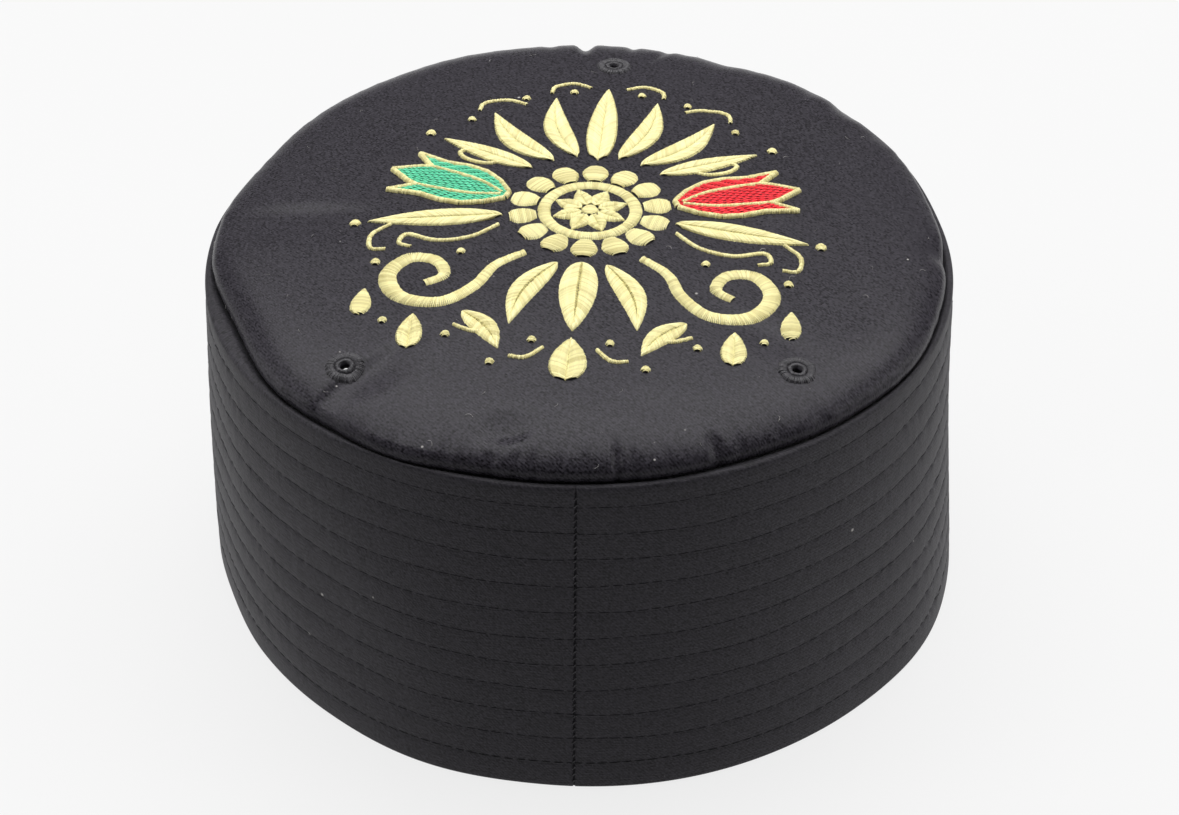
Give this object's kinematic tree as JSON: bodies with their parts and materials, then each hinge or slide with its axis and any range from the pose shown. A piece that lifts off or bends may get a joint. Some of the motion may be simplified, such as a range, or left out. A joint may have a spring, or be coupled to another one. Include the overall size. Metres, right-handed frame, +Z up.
{
  "type": "prayer cap",
  "caption": "Round flat-topped prayer cap with a tall quilted side band, a soft satin crown, stitched eyelets and a floral ornament in raised thread.",
  "frame": {"origin": "centre of the rim, on the surface that the cap rests on", "axes": "+Z up through the crown, -Y towards the front, where the band's upright seam is, and +X towards the picture's right"},
  "size_m": [0.187, 0.1896, 0.0959],
  "materials": {
    "crown_satin": "soft satin",
    "band_twill": "dull fine twill",
    "black_thread": "satin stitch",
    "gold_thread": "shiny embroidery thread",
    "green_thread": "shiny embroidery thread",
    "red_thread": "shiny embroidery thread"
  },
  "bodies": {
    "root": {"side_band": "band_twill", "crown": "crown_satin", "eyelet_left": "black_thread", "eyelet_right": "black_thread", "eyelet_back": "black_thread", "bud_inner_left": "gold_thread", "bud_inner_right": "gold_thread", "bud_middle": "gold_thread", "bud_outer_left": "gold_thread", "bud_outer_right": "gold_thread", "fan_inner_left": "gold_thread", "fan_inner_right": "gold_thread", "fan_low_left": "gold_thread", "fan_low_right": "gold_thread", "fan_middle": "gold_thread", "fan_outer_left": "gold_thread", "fan_outer_right": "gold_thread", "foot_lobe_left": "gold_thread", "foot_lobe_right": "gold_thread", "foot_middle": "gold_thread", "leaf_side_left": "gold_thread", "leaf_side_right": "gold_thread", "leaf_vine_left": "gold_thread", "leaf_vine_right": "gold_thread", "rosette": "gold_thread", "vine_left": "gold_thread", "vine_right": "gold_thread", "tulip_left": "green_thread", "tulip_right": "red_thread"}
  },
  "joints": []
}
